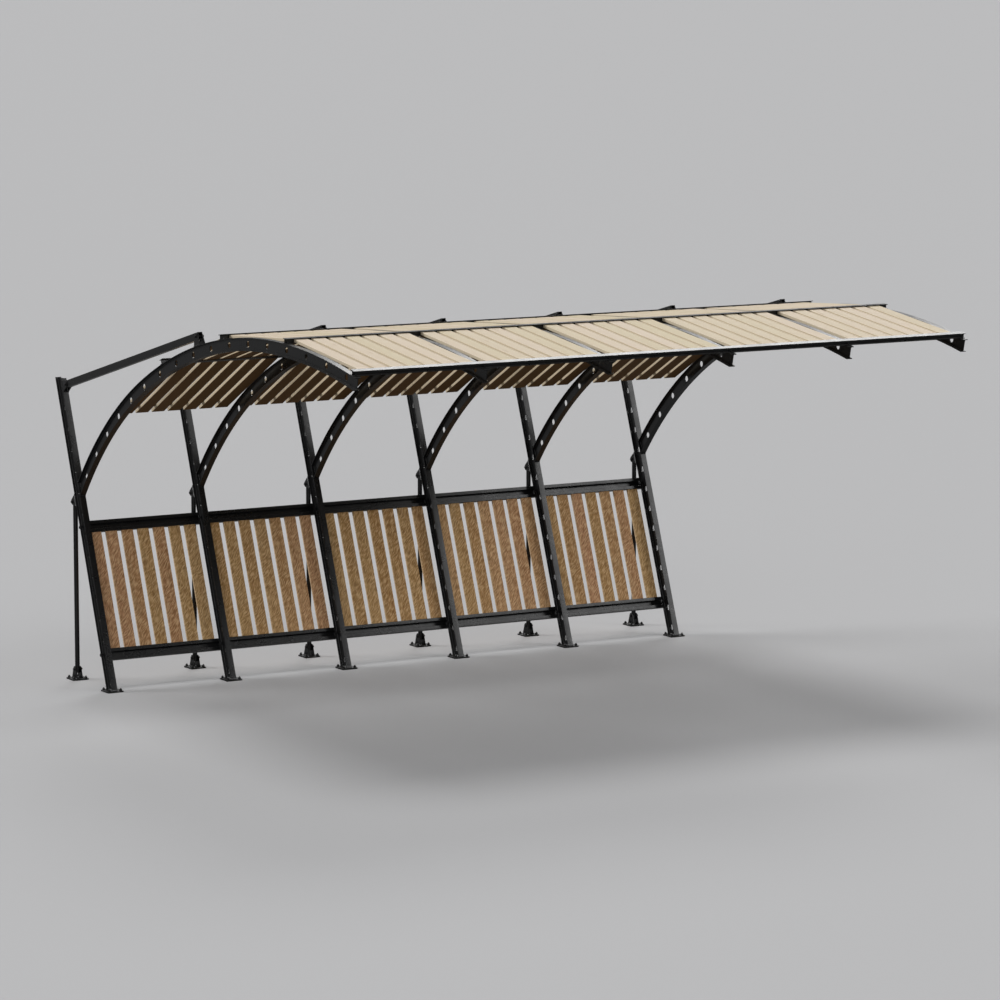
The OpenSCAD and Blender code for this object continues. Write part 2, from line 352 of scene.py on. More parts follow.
def facing(add):
    """The X, Y and Z of the direction that the surface faces."""
    normal = add("ShaderNodeNewGeometry").outputs["Normal"]
    return add("ShaderNodeSeparateXYZ", {0: normal}).outputs


def relief(add, shader, strength, *layers):
    """A bump from two patterns, each with its height in metres."""
    heights = [maths(add, "MULTIPLY", pattern, height) for pattern, height in layers]
    bump = add("ShaderNodeBump", {"Height": maths(add, "ADD", *heights),
                                  "Strength": strength, "Distance": 1.0})
    bump.id_data.links.new(bump.outputs[0], shader.inputs["Normal"])


# %% Black steel
WORN_SPECK, DUST = (0.035, 0.032, 0.030), (0.16, 0.15, 0.14)


def make_black_steel(name, base):
    """Satin black paint with dust on top and worn specks."""
    steel, shader, add, links = new_material(name)
    where = object_point(add)
    patches = noise(add, where, 7.0, 5.0, 0.6)
    speckle = noise(add, where, 160.0, 3.0, 0.65)
    dust = maths(add, "MULTIPLY", spread(add, facing(add)[2], 0.60, 0.95),
                 spread(add, patches, 0.35, 0.75, 0.55, 1.0), clamp=True)
    worn = maths(add, "MULTIPLY", spread(add, speckle, 0.62, 0.75),
                 spread(add, patches, 0.55, 0.75))
    colour = blend_colour(add, patches, [0.8 * c for c in base], [1.25 * c for c in base])
    colour = tint(add, colour, worn, 0.4, WORN_SPECK)
    colour = tint(add, colour, dust, 0.20, DUST)
    links.new(colour, shader.inputs["Base Color"])
    rough = spread(add, patches, 0.3, 0.7, 0.24, 0.34)
    rough = maths(add, "ADD", rough, maths(add, "MULTIPLY", dust, 0.03))
    rough = maths(add, "ADD", rough, maths(add, "MULTIPLY", worn, 0.15), clamp=True)
    links.new(rough, shader.inputs["Roughness"])
    shader.inputs["Specular IOR Level"].default_value = 0.45
    peel = noise(add, where, 420.0, 2.0, 0.5)
    waves = noise(add, where, 28.0, 2.0, 0.5)
    relief(add, shader, 0.55, (peel, 0.00006), (waves, 0.0007))
    return steel


BLACK_STEEL = make_black_steel("black_steel", (0.0050, 0.0052, 0.0056))
FASTENER_BLACK = make_black_steel("fastener_black", (0.010, 0.010, 0.011))
print("steel nodes:", len(BLACK_STEEL.node_tree.nodes))

# %% [markdown]
# ## Materials: planed pine and sawn brown boards
#
# Each board was cut from its own plank, so neighbours must differ. The boards of a bay stand at
# equal steps along X, so a board's number can be worked out from its X coordinate alone. That
# number feeds a white noise, which shifts the grain and the tone of each board. The grain is a
# noise stretched along the board: thin in X, long in Y and Z.

# %% The number and the grain of a board
BOARDS = 7  # in a bay
BOARD_EDGE, BOARD_GAP = 0.051, 0.0295  # frame to first board, and between two boards
BOARD_W = (BAY - 2 * BOARD_EDGE - (BOARDS - 1) * BOARD_GAP) / BOARDS


def board_number(add, where):
    """A whole number that is the same all over one board."""
    x = add("ShaderNodeSeparateXYZ", {0: where}).outputs[0]
    bay = maths(add, "FLOOR", maths(add, "DIVIDE", x, BAY))
    along = maths(add, "SUBTRACT", maths(add, "SUBTRACT", x, maths(add, "MULTIPLY", bay, BAY)),
                  BOARD_EDGE - BOARD_GAP / 2)
    number = maths(add, "FLOOR", maths(add, "DIVIDE", along, BOARD_W + BOARD_GAP))
    return maths(add, "ADD", number, maths(add, "MULTIPLY", bay, BOARDS))


def board_random(add, number, salt):
    """Random numbers for a board, different for each salt: a single one, and three as a vector."""
    node = add("ShaderNodeTexWhiteNoise", {"W": maths(add, "ADD", number, salt)},
               noise_dimensions="1D")
    return node.outputs["Value"], node.outputs["Color"]


def long_grain(add, where, shift, across, along):
    """Object coordinates stretched along a board and moved to its own part of the log."""
    stretched = add("ShaderNodeVectorMath", {0: where, 1: (across, along, along)},
                    operation="MULTIPLY").outputs[0]
    offset = add("ShaderNodeVectorMath", {0: shift, 1: (17.0, 31.0, 23.0)},
                 operation="MULTIPLY").outputs[0]
    return add("ShaderNodeVectorMath", {0: stretched, 1: offset}, operation="ADD").outputs[0]


def year_rings(add, rings, count, start):
    """The dark late wood of each ring, which grows slowly denser and then breaks off."""
    bands = maths(add, "FRACT", maths(add, "MULTIPLY", rings, count))
    return spread(add, bands, start, 1.0)


print("board width:", round(BOARD_W, 4))

# %% [markdown]
# The roof is pale planed pine. Its sides in the slits are painted lighter than its top, as painted
# light, and the faces below are painted dark brown, as painted shade, so the shader asks which way
# the surface faces: sideways along the row for the sides, and down for the faces below. Fibres,
# late wood, a few small knots and a slow grey stain each tint the wood a little.

# %% Roof pine
PINE = dict(
    yellow=(0.490, 0.415, 0.268), pink=(0.538, 0.443, 0.335), late_wood=(0.53, 0.40, 0.24),
    fibre=(0.48, 0.37, 0.23), knot=(0.30, 0.17, 0.08), stain=(0.46, 0.39, 0.29),
    # side is painted light for the sides of the boards, and the last colour is painted shade for
    # the faces below.
    side=(0.76, 0.65, 0.48), painted_underside_shade=(0.165, 0.080, 0.024))


def make_roof_pine():
    """Pale planed pine, with painted light on its sides and painted shade on the faces below."""
    wood, shader, add, links = new_material("roof_pine")
    where = object_point(add)
    face_x, _, face_z = facing(add)
    own, shift = board_random(add, board_number(add, where), 0.5)
    fibres = noise(add, long_grain(add, where, shift, 190.0, 5.0), 1.0, 4.0, 0.65)
    rings = noise(add, long_grain(add, where, shift, 26.0, 0.8), 1.0, 2.0, 0.55, 0.6)
    late = year_rings(add, rings, 9.0, 0.55)
    cells = add("ShaderNodeTexVoronoi", {"Vector": long_grain(add, where, shift, 11.0, 2.6),
                                         "Scale": 1.0, "Randomness": 1.0})
    knots = spread(add, cells.outputs["Distance"], 0.05, 0.14, 1.0, 0.0)
    stain = spread(add, noise(add, where, 3.0, 5.0, 0.6), 0.5, 0.75)
    # Painted light: the sides of the boards, facing along the row, are coloured lighter than the
    # top.
    sides = spread(add, maths(add, "ABSOLUTE", face_x), 0.5, 0.8)
    # Painted shade: the faces below are coloured dark brown.
    painted_underside_shade = spread(add, face_z, -0.35, -0.7)
    colour = blend_colour(add, own, PINE["yellow"], PINE["pink"])
    colour = tint(add, colour, late, 0.20, PINE["late_wood"])
    colour = tint(add, colour, spread(add, fibres, 0.45, 0.8), 0.20, PINE["fibre"])
    colour = tint(add, colour, knots, 0.30, PINE["knot"])
    colour = tint(add, colour, stain, 0.12, PINE["stain"])
    # Painted light on the sides.
    colour = tint(add, colour, sides, 0.85, PINE["side"])
    # Painted shade on the faces below.
    colour = tint(add, colour, painted_underside_shade, 0.93, PINE["painted_underside_shade"])
    links.new(colour, shader.inputs["Base Color"])
    links.new(spread(add, fibres, 0.2, 0.8, 0.52, 0.72), shader.inputs["Roughness"])
    links.new(spread(add, face_z, 0.0, 0.6, 0.10, 0.42), shader.inputs["Specular IOR Level"])
    relief(add, shader, 0.6, (fibres, 0.00030), (late, 0.00022))
    return wood


ROOF_PINE = make_roof_pine()
print("pine nodes:", len(ROOF_PINE.node_tree.nodes))

# %% [markdown]
# The back boards are golden brown and rough. A saw has left slanting tool marks, and the raised
# fibres catch the light. The marks are a slanting coordinate, bent by a noise and cut into short
# narrow strokes. Their grooves are painted darker, as painted shade, and their ridges lighter, as
# painted highlight, and the same strokes raise the bump.

# %% Tool marks of the saw
STROKES_X, STROKES_Z, STROKES_LONG = 92.0, 80.0, 15.0  # per metre across, up, and along a mark


def saw_strokes(add, where, number):
    """Slanting strokes, from 0 in a groove to 1 on a ridge."""
    x, _, z = add("ShaderNodeSeparateXYZ", {0: where}).outputs
    slant = maths(add, "SUBTRACT", maths(add, "MULTIPLY", x, STROKES_X),
                  maths(add, "MULTIPLY", z, STROKES_Z))
    drift = maths(add, "MULTIPLY", noise(add, where, 6.0, 2.0, 0.5), 7.0)
    own_start = maths(add, "MULTIPLY", number, 3.7)
    across = maths(add, "ADD", slant, maths(add, "ADD", drift, own_start))
    along = maths(add, "MULTIPLY", maths(add, "ADD", x, z), STROKES_LONG)
    cut_at = add("ShaderNodeCombineXYZ", {0: across, 1: along, 2: number}).outputs[0]
    return noise(add, cut_at, 1.0, 2.0, 0.5)


# %% Brown sawn boards
BROWN = dict(
    dark=(0.43, 0.238, 0.085), gold=(0.53, 0.335, 0.140), red=(0.54, 0.275, 0.150),
    # groove is painted shade in the saw marks, and ridge a painted highlight on their crests.
    late_wood=(0.27, 0.120, 0.036), groove=(0.17, 0.078, 0.024), ridge=(0.84, 0.59, 0.33),
    # side is painted light on the sides of the boards.
    blotch=(0.42, 0.29, 0.15), fibre=(0.12, 0.062, 0.024), side=(0.70, 0.52, 0.32))


def make_sawn_brown():
    """Rough golden brown boards."""
    wood, shader, add, links = new_material("sawn_brown")
    where = object_point(add)
    number = board_number(add, where)
    hue, shift = board_random(add, number, 40.5)
    tone, _ = board_random(add, number, 80.5)
    fibres = noise(add, long_grain(add, where, shift, 230.0, 9.0), 1.0, 5.0, 0.7)
    rings = noise(add, long_grain(add, where, shift, 30.0, 1.7), 1.0, 2.0, 0.55, 1.0)
    late = year_rings(add, rings, 7.0, 0.45)
    strokes = saw_strokes(add, where, number)
    blotches = noise(add, long_grain(add, where, shift, 16.0, 5.0), 1.0, 4.0, 0.6)
    # Painted light: the sides of the boards, facing along the row, are coloured lighter.
    sides = spread(add, maths(add, "ABSOLUTE", facing(add)[0]), 0.35, 0.7)
    colour = blend_colour(add, tone, BROWN["dark"], BROWN["gold"])
    colour = blend_colour(add, spread(add, hue, 0.40, 0.95, 0.0, 0.8), colour, BROWN["red"])
    colour = tint(add, colour, late, 0.36, BROWN["late_wood"])
    # Painted shade in the grooves of the saw marks and painted highlight on their ridges.
    colour = tint(add, colour, spread(add, strokes, 0.49, 0.39), 0.55, BROWN["groove"])
    colour = tint(add, colour, spread(add, strokes, 0.51, 0.61), 0.50, BROWN["ridge"])
    colour = tint(add, colour, spread(add, blotches, 0.5, 0.8), 0.35, BROWN["blotch"])
    colour = tint(add, colour, spread(add, fibres, 0.5, 0.8), 0.3, BROWN["fibre"])
    # Painted light on the sides.
    colour = tint(add, colour, sides, 0.6, BROWN["side"])
    links.new(colour, shader.inputs["Base Color"])
    links.new(spread(add, fibres, 0.2, 0.8, 0.62, 0.85), shader.inputs["Roughness"])
    shader.inputs["Specular IOR Level"].default_value = 0.3
    relief(add, shader, 0.7, (strokes, 0.0016), (fibres, 0.0006))
    return wood


SAWN_BROWN = make_sawn_brown()
print("brown board nodes:", len(SAWN_BROWN.node_tree.nodes))

# %% [markdown]
# ## The rolled section
#
# Posts and ribs are rolled I-sections: a web between two flanges, with a soft fillet in the four
# roots and slightly rounded flange tips. It could be made from three boxes, but then the roots
# would be knife-sharp and the joins would show. Here a plane is cut into three strips, the outer
# strips are pulled out into flanges, the strips are dissolved into one face, and its corners are
# rounded as points. That one face is then pushed or spun along every post and rib.

# %% One I-shaped face
def near(value, target, slack=0.0004):
    """Whether two lengths are the same, give or take some slack."""
    return abs(value - target) < slack


def section_face(width, depth, flange, web, root=0.005, tip=0.0012):
    """A flat I in the XY plane: its width along X, its depth along Y."""
    clear_hands()
    bpy.ops.mesh.primitive_plane_add(size=1)
    piece = bpy.context.object
    edit(piece)
    bpy.ops.transform.resize(value=(web, depth, 1))
    inside = depth / 2 - flange
    for side in (-1, 1):
        bpy.ops.mesh.select_all(action="SELECT")
        bpy.ops.mesh.bisect(plane_co=(0, side * inside, 0), plane_no=(0, 1, 0))
    for side in (-1, 1):
        pick("EDGE", lambda p: near(p.x, side * web / 2) and abs(p.y) > inside)
        bpy.ops.mesh.extrude_edges_move(
            TRANSFORM_OT_translate={"value": (side * (width - web) / 2, 0, 0)})
    bpy.ops.mesh.select_all(action="SELECT")
    bpy.ops.mesh.remove_doubles(threshold=0.00001)
    bpy.ops.mesh.select_mode(type="FACE")
    bpy.ops.mesh.select_all(action="SELECT")
    bpy.ops.mesh.dissolve_faces()
    pick("VERT", lambda p: near(abs(p.x), web / 2) and near(abs(p.y), inside))
    bpy.ops.mesh.bevel(offset=root, segments=3, affect="VERTICES")
    pick("VERT", lambda p: near(abs(p.x), width / 2))
    bpy.ops.mesh.bevel(offset=tip, segments=2, affect="VERTICES")
    clear_hands()
    return piece


trial = section_face(**SECTION)
print("section:", len(trial.data.vertices), "points,", len(trial.data.polygons), "face")
bpy.data.objects.remove(trial)

# %% [markdown]
# ## Round web holes
#
# The webs are punched with a row of holes. A boolean with one long cutter is the cleanest way:
# all the cylinders are joined first, so the web is only cut once. Forty sides keep a 45 mm hole
# round in a close view, and the rim is then eased with a narrow bevel, as a punch leaves it.

# %% Punch and ease
EASED_SECTION = dict(width=0.0007, angle=62, segments=1)  # the same for posts and ribs


def punch(piece, points, radius):
    """Cuts a round hole along X through a web at each point."""
    cutters = []
    for point in points:
        clear_hands()
        bpy.ops.mesh.primitive_cylinder_add(vertices=40, radius=radius, depth=0.03,
                                            location=point, rotation=(0, math.pi / 2, 0))
        cutters.append(settle(bpy.context.object))
    cutter = join("cutter", cutters)
    use(piece, "BOOLEAN", object=cutter, operation="DIFFERENCE", solver="EXACT")
    bpy.data.objects.remove(cutter)


def ease(piece, width, angle, segments):
    """Rounds the edges that are sharper than the angle."""
    return use(piece, "BEVEL", width=width, segments=segments, limit_method="ANGLE",
               angle_limit=math.radians(angle), use_clamp_overlap=True, harden_normals=False)


# %% [markdown]
# ## Lugs, weld beads and bolts
#
# Every bar of the frame hangs on a pin between two lugs. A lug is a plate with a wide foot and a
# round head, so it starts as a disc: the lower points are removed, two corners are pulled down to
# the foot, the outline is filled, and the plate is given its thickness. The weld at its foot is a
# stack of small overlapping cones, which is how a bead looks where the torch paused. Bolts are a
# hexagon with a chamfered rim, a washer and a shank.

# %% A lug plate
LUG_T, LUG_R, LUG_FOOT = 0.006, 0.024, 0.096  # thickness, radius of the head, length of the foot
LUG_X = 0.0213  # from the middle of a frame to the middle of a lug


def lug_plate(pin_height):
    """A lug in the XY plane with its foot on y = 0, and half its thickness on either side."""
    half = LUG_FOOT / 2
    reach = math.hypot(half, pin_height)
    turn = math.acos(LUG_R / reach) - math.atan2(pin_height, half)
    shoulder = LUG_R * math.sin(turn)
    clear_hands()
    bpy.ops.mesh.primitive_circle_add(vertices=48, radius=LUG_R, fill_type="NGON")
    piece = bpy.context.object
    edit(piece)
    pick("VERT", lambda p: p.y < shoulder - 0.0001)
    bpy.ops.mesh.delete(type="VERT")
    clear_hands()
    lowest = min(v.co.y for v in piece.data.vertices)
    corner_x = [v.co.x for v in piece.data.vertices if near(v.co.y, lowest, 0.0002)]
    edit(piece)
    for side, x in ((-1, min(corner_x)), (1, max(corner_x))):
        pick("VERT", lambda p: near(p.x, x, 0.0002) and near(p.y, lowest, 0.0002))
        bpy.ops.mesh.extrude_vertices_move(TRANSFORM_OT_translate={
            "value": (side * half - x, -pin_height - lowest, 0)})
    bpy.ops.mesh.select_all(action="SELECT")
    bpy.ops.mesh.edge_face_add()
    bpy.ops.mesh.select_all(action="SELECT")
    bpy.ops.mesh.extrude_region_move(TRANSFORM_OT_translate={"value": (0, 0, LUG_T)})
    clear_hands()
    move(piece, 0, pin_height, -LUG_T / 2)
    return ease(face_out(piece), width=0.0008, angle=60, segments=1)


def lug_pair(pin_height, at, up):
    """Two lug plates on either side of a frame, standing up from a point of its plane."""
    return [place(lug_plate(pin_height),
                  frame_of(up.cross(ALONG_X), up, at + side * LUG_X * ALONG_X))
            for side in (-1, 1)]


# %% A weld bead
def point_at(piece, at, towards):
    """Lays a piece that was made on the Z axis along a direction at a point."""
    turn = towards.normalized().to_track_quat("Z", "Y").to_matrix().to_4x4()
    return place(piece, Matrix.Translation(at) @ turn)


def weld(start, end, size):
    """A bead between two points: short cones in a row, each pushed into the last."""
    run = end - start
    count = max(3, int(run.length / (0.95 * size)))
    step = run.length / count
    clear_hands()
    bpy.ops.mesh.primitive_cone_add(vertices=8, radius1=0.72 * size, radius2=size,
                                    depth=step * 1.15, end_fill_type="NOTHING")
    bead = bpy.context.object
    edit(bead)
    pick("EDGE", lambda p: near(math.hypot(p.x, p.y), size, 0.1 * size) and p.z > 0.4 * step)
    bpy.ops.mesh.extrude_edges_move(TRANSFORM_OT_translate={"value": (0, 0, 0)})
    bpy.ops.transform.resize(value=(0.7, 0.7, 1))
    clear_hands()
    use(bead, "ARRAY", count=count, use_relative_offset=False, use_constant_offset=True,
        constant_offset_displace=(0, 0, step))
    return point_at(bead, start, run)


# %% Bolts
def hexagon(across_flats, height, at):
    """A bolt head or nut on the Z axis, with a chamfered upper rim."""
    clear_hands()
    bpy.ops.mesh.primitive_cylinder_add(vertices=6, radius=across_flats / math.sqrt(3),
                                        depth=height)
    piece = bpy.context.object
    edit(piece)
    pick("FACE", lambda p: p.z > 0.4 * height)
    bpy.ops.mesh.inset(thickness=0.12 * across_flats, use_even_offset=True)
    bpy.ops.transform.translate(value=(0, 0, 0.12 * height))
    clear_hands()
    return move(piece, 0, 0, at + height / 2)


def disc(radius, height, sides=16, chamfer=0.0):
    """A washer or a shank that stands on z = 0, with an eased upper rim."""
    clear_hands()
    bpy.ops.mesh.primitive_cylinder_add(vertices=sides, radius=radius, depth=height)
    piece = bpy.context.object
    if chamfer:
        edit(piece)
        pick("FACE", lambda p: p.z > 0.4 * height)
        bpy.ops.mesh.bevel(offset=chamfer, segments=1, affect="EDGES")
        clear_hands()
    return move(piece, 0, 0, height / 2)


def bolt_head(size):
    """A washer and the head of a bolt of this thread size, standing on z = 0."""
    return join("bolt", [hexagon(1.55 * size, 0.65 * size, 0.2 * size),
                         disc(1.05 * size, 0.2 * size, chamfer=0.0004)])


def nut_and_stud(size, proud):
    """A washer, a nut and the end of a stud that stands proud of it."""
    return join("nut", [disc(1.08 * size, 0.2 * size, sides=20, chamfer=0.0004),
                        hexagon(1.55 * size, 0.8 * size, 0.2 * size),
                        disc(size / 2, 1.0 * size + proud, sides=12, chamfer=0.001)])


trial = bolt_head(0.012)
print("bolt head:", len(trial.data.polygons), "faces")
bpy.data.objects.remove(trial)

# %% [markdown]
# ## The posts
#
# A post is a length of the I-section that leans to the rear. Its foot is cut level where it is
# welded to the base plate, and its top is cut level too. The section face is pushed up the
# leaning line by an extrude, and two bisects make the level cuts. The web is punched, the plate
# carries four anchors, and two pairs of lugs are welded on: one at the head for the tie bar, one
# behind for the prop. One post is made with great care and copied to the other five frames.

# %% Shaft of the post
PLATE, PLATE_T = 0.133, 0.010  # side and thickness of a base plate
UP_POST = on_post(0, 1) - on_post(0, 0)
BEHIND = on_post(1, 0) - on_post(0, 0)
SPARE = 0.1  # length that the level cuts take off each end
POST_HOLES = dict(first=0.072, pitch=0.165, radius=0.021, free_top=0.150)


def bisect_away(piece, point, normal):
    """Cuts a piece and throws away the side that the normal points to."""
    edit(piece)
    bpy.ops.mesh.bisect(plane_co=point, plane_no=normal, use_fill=True, clear_outer=True)
    clear_hands()


shaft = section_face(**SECTION)
edit(shaft)
bpy.ops.mesh.extrude_region_move(
    TRANSFORM_OT_translate={"value": (0, 0, POST_LENGTH + 2 * SPARE)})
clear_hands()
place(shaft, frame_of(ALONG_X, BEHIND, on_post(0, -SPARE)))
bisect_away(shaft, (0, 0, POST_TOP), (0, 0, 1))
bisect_away(shaft, (0, 0, PLATE_T / 2), (0, 0, -1))
face_out(shaft)
run = POST_LENGTH - POST_HOLES["first"] - POST_HOLES["free_top"]
holes = [on_post(0, POST_HOLES["first"] + POST_HOLES["pitch"] * k)
         for k in range(int(run / POST_HOLES["pitch"]) + 1)]
punch(shaft, holes, POST_HOLES["radius"])
ease(shaft, **EASED_SECTION)
print("post shaft:", len(holes), "holes,", len(shaft.data.polygons), "faces")

# %% Base plate and anchors
ANCHOR = 0.048  # from the middle of a plate to an anchor, along X and along Y
ANCHOR_SIZE, ANCHOR_PROUD = 0.012, 0.007


def base_plate(y=0.0):
    """A square plate with rounded corners."""
    clear_hands()
    bpy.ops.mesh.primitive_cube_add(size=1)
    plate = bpy.context.object
    edit(plate)
    bpy.ops.transform.resize(value=(PLATE, PLATE, PLATE_T))
    pick("EDGE", lambda p: near(abs(p.x), PLATE / 2) and near(abs(p.y), PLATE / 2))
    bpy.ops.mesh.bevel(offset=0.010, segments=5, affect="EDGES")
    clear_hands()
    move(plate, 0, y, PLATE_T / 2)
    return ease(plate, width=0.0012, angle=60, segments=2)


def anchors(y=0.0):
    """Four nuts on studs, each turned a little differently."""
    ready = []
    for index, (sx, sy) in enumerate(((-1, -1), (1, -1), (1, 1), (-1, 1))):
        at = Matrix.Translation((sx * ANCHOR, y + sy * ANCHOR, PLATE_T))
        turn = Matrix.Rotation(0.35 + 0.9 * index, 4, "Z")
        ready.append(place(nut_and_stud(ANCHOR_SIZE, ANCHOR_PROUD), at @ turn))
    return ready


# %% Welds of the post
WEB_BEAD_X = 0.0042  # from the middle of a web to the beads along it
BEAD = dict(foot=0.0055, foot_web=0.0045, lug=0.0034, seat=0.005, seat_web=0.0042)  # radii


def foot_welds():
    """Beads round the foot of the post, on the plate."""
    half = HALF_DEPTH / math.cos(LEAN)
    y_foot, z = PLATE_T * math.tan(LEAN), PLATE_T + 0.0015
    beads = []
    for side in (-1, 1):
        y = y_foot + side * (half + 0.001)
        x = side * WEB_BEAD_X
        beads.append(weld(Vector((-HALF_WIDTH, y, z)), Vector((HALF_WIDTH, y, z)), BEAD["foot"]))
        beads.append(weld(Vector((x, y_foot - half + 0.008, z)),
                          Vector((x, y_foot + half - 0.008, z)), BEAD["foot_web"]))
    return beads


def lug_welds(at, up):
    """Beads along both faces of a pair of lugs. The outer ones keep to the edge of the flange."""
    reach = LUG_FOOT / 2 * up.cross(ALONG_X).normalized()
    beads = []
    for side in (-1, 1):
        for face in (-1, 1):
            x = side * LUG_X + face * (LUG_T / 2 + 0.0005)
            if abs(x) > HALF_WIDTH + 0.001:
                x = side * (HALF_WIDTH + 0.0003)
            base = at + x * ALONG_X + 0.0012 * up
            beads.append(weld(base - reach, base + reach, BEAD["lug"]))
    return beads


# %% Six posts
HEAD_S, PROP_S = POST_LENGTH - 0.081, POST_LENGTH - 0.9496  # middles of the lugs on the post
TIE_PIN, PROP_PIN = 0.068, 0.055  # height of a pin above the foot of its lugs
HEAD_LUG, PROP_LUG = on_post(-HALF_DEPTH, HEAD_S), on_post(HALF_DEPTH, PROP_S)
post = join("post", [shaft, base_plate()]
            + lug_pair(TIE_PIN, HEAD_LUG, -BEHIND) + lug_pair(PROP_PIN, PROP_LUG, BEHIND)
            + foot_welds() + lug_welds(HEAD_LUG, -BEHIND) + lug_welds(PROP_LUG, BEHIND)
            + anchors())
print("one post:", len(post.data.polygons), "faces")
for i in FRAMES:
    finish(move(twin(post), frame_x(i)), f"leaning_post_{i}", BLACK_STEEL, "black_steel",
           f"post_{i}")
bpy.data.objects.remove(post)
print("posts:", len(made))

# %% [markdown]
# ## The ribs
#
# A rib is the same section rolled to three arcs that flow into each other: a flat arc in front of
# the crown, a rounder one behind it, and a tight one down to the post. Spin is made for this. The
# section face is stood up at the front end and spun about the first centre, then its far end is
# spun about the second and the third. A short step, about a hundred millimetres, keeps the curve
# smooth without filling the mesh. The last piece runs into the post and is cut off at its face,
# and the web is punched at one pitch over the roof and a closer one on the steep arc.

# %% Spin the section along three arcs
INTO_POST = 0.06  # extra turn of the last arc, which the cut takes off
rib = section_face(**SECTION)
place(rib, frame_of(ALONG_X, outwards(-FRONT),
                    C_FRONT + (R_FRONT - HALF_DEPTH) * outwards(-FRONT)))
edit(rib)
for centre, angle, steps in ((C_FRONT, FRONT, 12), (C_REAR, KNEE, 24),
                             (C_LOW, SPRING - KNEE + INTO_POST, 18)):
    bpy.ops.mesh.spin(steps=steps, angle=angle, center=centre, axis=(1, 0, 0))
clear_hands()
ends = sorted((v.co for v in rib.data.vertices), key=lambda p: p.y)
print("rib from", short(ends[0]), "to", short(ends[-1]))

# %% Cut and punch the rib
HAIR = 0.0002  # a gap that keeps two faces from lying in each other
SEAT_S = 1.5  # a height on the face that the rib stands on
RIB_HOLES = dict(first=-1.1, pitch=0.296, low_pitch=0.262, radius=0.0225, free_end=0.100)

bisect_away(rib, on_post(-HALF_DEPTH - HAIR, SEAT_S), BEHIND)
face_out(rib)
count = int((KNEE_S - RIB_HOLES["first"]) / RIB_HOLES["pitch"]) + 1
holes = [RIB_HOLES["first"] + RIB_HOLES["pitch"] * k for k in range(count)]
while holes[-1] + RIB_HOLES["low_pitch"] <= RIB_END - RIB_HOLES["free_end"]:
    holes.append(holes[-1] + RIB_HOLES["low_pitch"])
punch(rib, [on_rib(s, -HALF_DEPTH) for s in holes], RIB_HOLES["radius"])
ease(rib, **EASED_SECTION)
print("rib:", len(holes), "holes,", len(rib.data.polygons), "faces")

# %% [markdown]
# The rib stands on the post's front flange with a bead on either side of its web and across both
# of its flanges. Its own pair of lugs holds the front end of the tie bar.

# %% Lugs and welds of the rib
TIE_S = 1.151  # the middle of the lugs, behind the crown
TIE_UP = outwards(rib_slope(TIE_S))


def seat_welds():
    """Beads where the rib meets the face of the post."""
    face = -HALF_DEPTH - 0.0015
    seat = [v.co for v in rib.data.vertices
            if near((v.co - on_post(face, SEAT_S)).dot(BEHIND), 0, 0.0025)]
    foot, *_, top = sorted(p.dot(UP_POST) for p in seat)
    beads = [weld(on_post(face, s, -HALF_WIDTH), on_post(face, s, HALF_WIDTH), BEAD["seat"])
             for s in (top, foot)]
    for x in (-WEB_BEAD_X, WEB_BEAD_X):
        beads.append(weld(on_post(face, foot + 0.01, x), on_post(face, top - 0.01, x),
                          BEAD["seat_web"]))
    return beads


rib = join("rib", [rib] + seat_welds() + lug_pair(TIE_PIN, on_rib(TIE_S), TIE_UP)
           + lug_welds(on_rib(TIE_S), TIE_UP))
for i in FRAMES:
    finish(move(twin(rib), frame_x(i)), f"curved_rib_{i}", BLACK_STEEL, "black_steel", f"rib_{i}")
bpy.data.objects.remove(rib)
print("pieces so far:", len(made))

# %% [markdown]
# ## Feet of the props, and the pins
#
# The props stand on the same base plates as the posts, between two lugs. The pins through all the
# lugs are bolts: a head and washer on one side, a nut and the end of the thread on the other. The
# head stands a little way out from the lug, and its six flats catch the light.

# %% Prop feet
UP = Vector((0, 0, 1))
PIN_POINTS = {
    "rib": on_rib(TIE_S, TIE_PIN),
    "head": on_post(-HALF_DEPTH - TIE_PIN, HEAD_S),
    "prop": on_post(HALF_DEPTH + PROP_PIN, PROP_S),
}
PROP_Y = PIN_POINTS["prop"].y
PIN_POINTS["foot"] = Vector((0, PROP_Y, PLATE_T + TIE_PIN))
foot_at = Vector((0, PROP_Y, PLATE_T))
foot = join("foot", [base_plate(PROP_Y)] + lug_pair(TIE_PIN, foot_at, UP)
            + lug_welds(foot_at, UP) + anchors(PROP_Y))
feet = [move(twin(foot), frame_x(i)) for i in FRAMES]
bpy.data.objects.remove(foot)
finish(join("feet", feet), "prop_foot_plates", BLACK_STEEL, "black_steel", "prop_feet")
print("prop feet at y =", round(PROP_Y, 4), "CAD box", short(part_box("prop_feet")[0]))

# %% Pins
PIN_SIZE, PIN_PROUD = 0.012, 0.004


def pin_bolt(at):
    """A bolt through a pair of lugs, with its head towards lower X."""
    outer = LUG_X + LUG_T / 2
    reach = outer * ALONG_X
    return join("pin", [point_at(bolt_head(PIN_SIZE), at - reach, -ALONG_X),
                        point_at(nut_and_stud(PIN_SIZE, PIN_PROUD), at + reach, ALONG_X),
                        point_at(disc(PIN_SIZE / 2, 2 * outer), at - reach, ALONG_X)])


pins = [pin_bolt(point + frame_x(i) * ALONG_X) for i in FRAMES for point in PIN_POINTS.values()]
finish(join("pins_joined", pins), "pin_bolts", FASTENER_BLACK, "black_steel", "pins")
print("pins:", len(pins))

# %% [markdown]
# ## Bars, purlins, rails and boards from the frame's own meshes
#
# Tie bars, props, purlins, rails and boards are plain straight lengths, and the CAD shape is
# already the real one. Its mesh is loose triangles, though, with knife-sharp edges. So a copy of
# each mesh is merged, its flat faces are dissolved, and the edges are eased with a bevel. Rolled
# and folded steel gets a small radius, and sawn timber a larger one. The eased edge is what draws
# the thin bright line along every bar and board.

